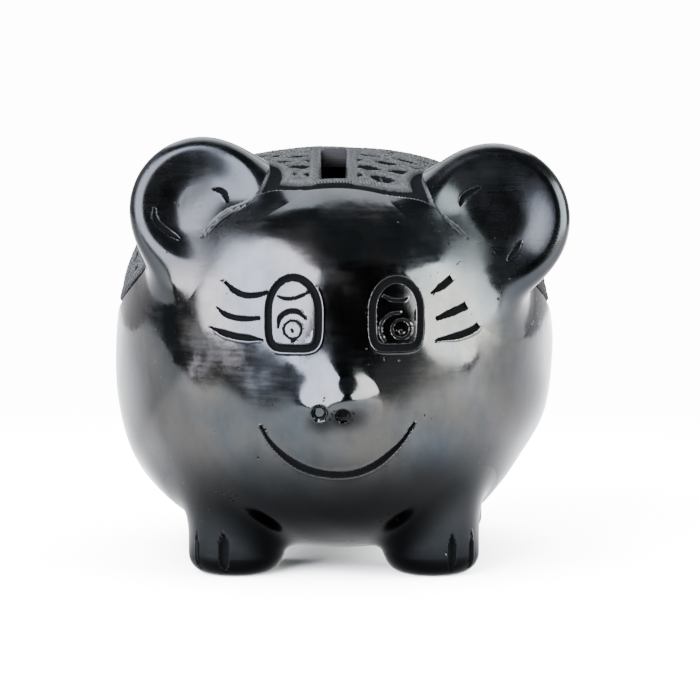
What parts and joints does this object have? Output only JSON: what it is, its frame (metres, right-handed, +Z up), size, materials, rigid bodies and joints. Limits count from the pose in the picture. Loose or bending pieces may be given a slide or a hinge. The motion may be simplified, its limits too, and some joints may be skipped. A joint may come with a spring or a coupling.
{
  "type": "piggy bank",
  "caption": "Hand-built burnished black clay pig bank with a coin slot in its back and a pull-out stopper under its belly.",
  "frame": {"origin": "on the floor under the middle of the overall outline", "axes": "the pig faces -Y, +X is the pig's left, +Z is up"},
  "size_m": [0.1216, 0.1462, 0.1151],
  "materials": {
    "clay": "unglazed, burnished to a graphite-like sheen",
    "rubber": "matt moulded"
  },
  "bodies": {
    "vessel": {"upper_bowl": "clay", "lower_bowl": "clay", "snout": "clay", "left_ear": "clay", "right_ear": "clay", "front_left_leg": "clay", "front_right_leg": "clay", "rear_left_leg": "clay", "rear_right_leg": "clay", "tail": "clay"},
    "stopper": {"stopper": "rubber"}
  },
  "joints": [
    {"name": "stopper_pull", "type": "slide", "parent": "vessel", "child": "stopper", "axis": [0, 0, -1], "range_m": [0, 0.03]}
  ]
}
